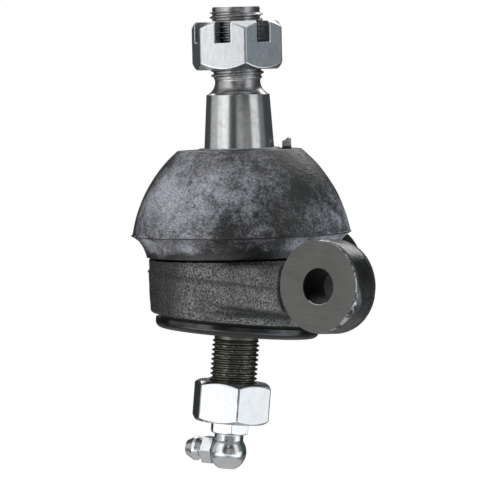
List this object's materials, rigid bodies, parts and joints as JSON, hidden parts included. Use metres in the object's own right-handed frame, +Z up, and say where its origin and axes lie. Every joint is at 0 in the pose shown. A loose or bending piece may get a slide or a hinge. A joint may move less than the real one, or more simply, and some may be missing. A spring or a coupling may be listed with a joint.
{
  "type": "suspension ball joint",
  "caption": "Ball joint: tapered stud with castle nut in a black forged socket with side ears, under a dust boot, with a threaded stem, nut and grease fitting below.",
  "frame": {"origin": "centre of the cover plate's lower face, on the stem axis", "axes": "+Z up the stem axis towards the stud; +X in the symmetry plane of the two ears, which splay evenly about it; the socket axis leans from +Z towards -X"},
  "size_m": [0.064, 0.105, 0.1242],
  "materials": {
    "housing_paint": "semi-gloss black paint over a rough forging",
    "cover_paint": "satin black paint",
    "seal_rubber": "matt",
    "stem_phosphate": "dark phosphated thread",
    "nut_zinc": "bright zinc plate",
    "stud_steel": "ground",
    "ring_steel": "ground",
    "liner_polymer": "natural acetal",
    "spring_steel": "oiled spring steel",
    "boot_rubber": "dusty black rubber",
    "fitting_zinc": "bright plate"
  },
  "bodies": {
    "housing_body": {"housing": "housing_paint", "cover_plate": "cover_paint", "cover_seal": "seal_rubber", "threaded_stem": "stem_phosphate", "stem_nut": "nut_zinc", "pressure_cup": "liner_polymer", "disc_spring": "spring_steel", "grease_elbow": "fitting_zinc", "grease_nipple": "fitting_zinc", "check_spring": "spring_steel"},
    "liner_body": {"bearing_liner": "liner_polymer"},
    "swivel_body": {"swivel_ring": "ring_steel", "dust_boot": "boot_rubber", "boot_collar": "ring_steel"},
    "stud_body": {"ball_stud": "stud_steel", "castle_nut": "nut_zinc"},
    "check_body": {"check_ball": "fitting_zinc"}
  },
  "joints": [
    {"name": "swing_direction", "type": "hinge", "parent": "housing_body", "child": "liner_body", "pos_m": [0, 0, 0.019], "axis": [-0.0993, 0, 0.9951], "continuous": true},
    {"name": "stud_swing", "type": "hinge", "parent": "liner_body", "child": "swivel_body", "pos_m": [0, 0, 0.019], "axis": [0, 1, 0], "range_deg": [-22, 22], "deforming": ["dust_boot"]},
    {"name": "stud_spin", "type": "hinge", "parent": "swivel_body", "child": "stud_body", "pos_m": [0, 0, 0.019], "axis": [-0.0993, 0, 0.9951], "continuous": true},
    {"name": "check_ball_slide", "type": "slide", "parent": "housing_body", "child": "check_body", "axis": [0.9348, -0.3551, 0], "range_m": [0, 0.0008], "stiffness_N_per_m": 200, "springref_m": -0.0005, "deforming": ["check_spring"]}
  ]
}
